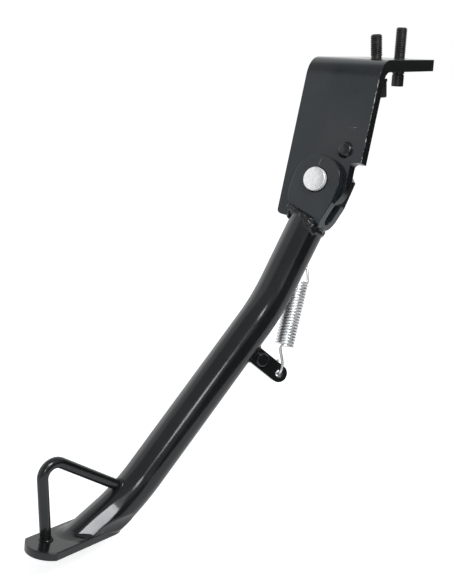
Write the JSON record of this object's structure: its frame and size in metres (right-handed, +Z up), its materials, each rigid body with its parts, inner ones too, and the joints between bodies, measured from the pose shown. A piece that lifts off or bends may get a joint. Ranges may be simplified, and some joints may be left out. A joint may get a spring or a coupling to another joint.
{
  "type": "scooter side stand",
  "caption": "Black steel side stand for a scooter: bent bolt-on bracket, folding leg tube on a clevis with an over-centre spring, tread plate and foot loop",
  "frame": {"origin": "upper face of the flange, midway between the two bolts", "axes": "+X towards the scooter's rear, +Y inwards under the scooter, +Z up along the bolts"},
  "size_m": [0.1118, 0.3099, 0.3224],
  "materials": {
    "black_paint": "gloss",
    "black_steel": "satin",
    "zinc": "satin"
  },
  "bodies": {
    "bracket": {"bracket": "black_paint", "stop_stud": "black_paint", "spring_post": "black_paint", "front_bolt": "black_steel", "front_bolt_washer": "black_steel", "rear_stud": "black_steel"},
    "leg": {"pivot_pin": "zinc", "pivot_washer": "zinc", "pivot_clip": "zinc", "clevis": "black_paint", "clevis_weld": "black_paint", "leg_tube": "black_paint", "foot_plate": "black_paint", "foot_weld": "black_paint", "foot_loop": "black_paint", "loop_weld": "black_paint", "spring_lug": "black_paint", "lug_weld": "black_paint", "lug_peg": "black_paint"},
    "spring": {"spring": "zinc"}
  },
  "joints": [
    {"name": "leg_fold", "type": "hinge", "parent": "bracket", "child": "leg", "pos_m": [-0.006, -0.07284, -0.08017], "axis": [0, -0.9511, 0.309], "range_deg": [0, 102], "deforming": ["spring"]},
    {"name": "spring_swing", "type": "hinge", "parent": "leg", "child": "spring", "pos_m": [-0.01672, -0.10032, -0.2098], "axis": [0, -0.9511, 0.309], "range_deg": [-14.5, 0]}
  ],
  "couplings": [
    {"joint": "spring_swing", "follows": "leg_fold", "ratio": -0.1417}
  ]
}
